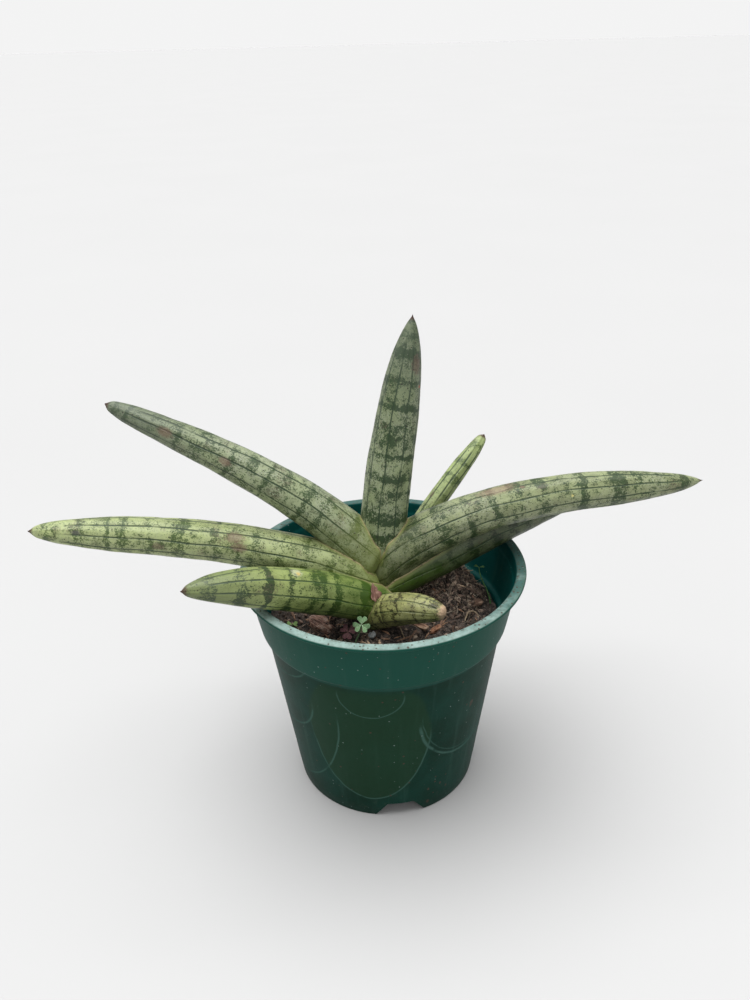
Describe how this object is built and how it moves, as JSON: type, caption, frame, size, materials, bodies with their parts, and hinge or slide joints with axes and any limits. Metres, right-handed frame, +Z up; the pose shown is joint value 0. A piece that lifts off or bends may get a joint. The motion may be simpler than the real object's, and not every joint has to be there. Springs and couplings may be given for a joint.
{
  "type": "potted snake plant",
  "caption": "Snake plant with thick cylindrical, dark-banded leaves fanned low over the rim of a round green plastic nursery pot filled with barky soil.",
  "frame": {"origin": "on the ground under the middle of the whole outline; the pot's own axis stands at x = 0.0035 m, y = 0", "axes": "+Z up, x along the fan of leaves with the lower right leaves towards +X, and the short stub leaf and the weeds on the -Y side"},
  "size_m": [0.3478, 0.15, 0.2562],
  "materials": {
    "pot_plastic": "satin",
    "leaf_skin": "satin",
    "potting_mix": "matte",
    "bark": "matte",
    "root_fibre": "matte",
    "weed_green": "matte",
    "weed_purple": "matte",
    "shell": "satin",
    "pebble": "matte",
    "dry_leaf": "matte"
  },
  "bodies": {
    "root": {"pot": "pot_plastic", "leaf_centre_upright": "leaf_skin", "leaf_upper_left": "leaf_skin", "leaf_upper_right": "leaf_skin", "leaf_lower_left": "leaf_skin", "leaf_lower_right": "leaf_skin", "leaf_front_left": "leaf_skin", "leaf_front_stub": "leaf_skin", "leaf_young_right": "leaf_skin", "soil": "potting_mix", "bark_chip_left": "bark", "bark_chip_front": "bark", "bark_chip_middle": "bark", "bark_chip_right": "bark", "bark_chip_back": "bark", "root_left": "root_fibre", "root_middle": "root_fibre", "root_front": "root_fibre", "root_right": "root_fibre", "clover_green": "weed_green", "clover_purple": "weed_purple", "seedling_left": "weed_green", "seedling_wall": "weed_green", "snail_shell": "shell", "pebble": "pebble", "dry_leaf_scrap": "dry_leaf"}
  },
  "joints": []
}
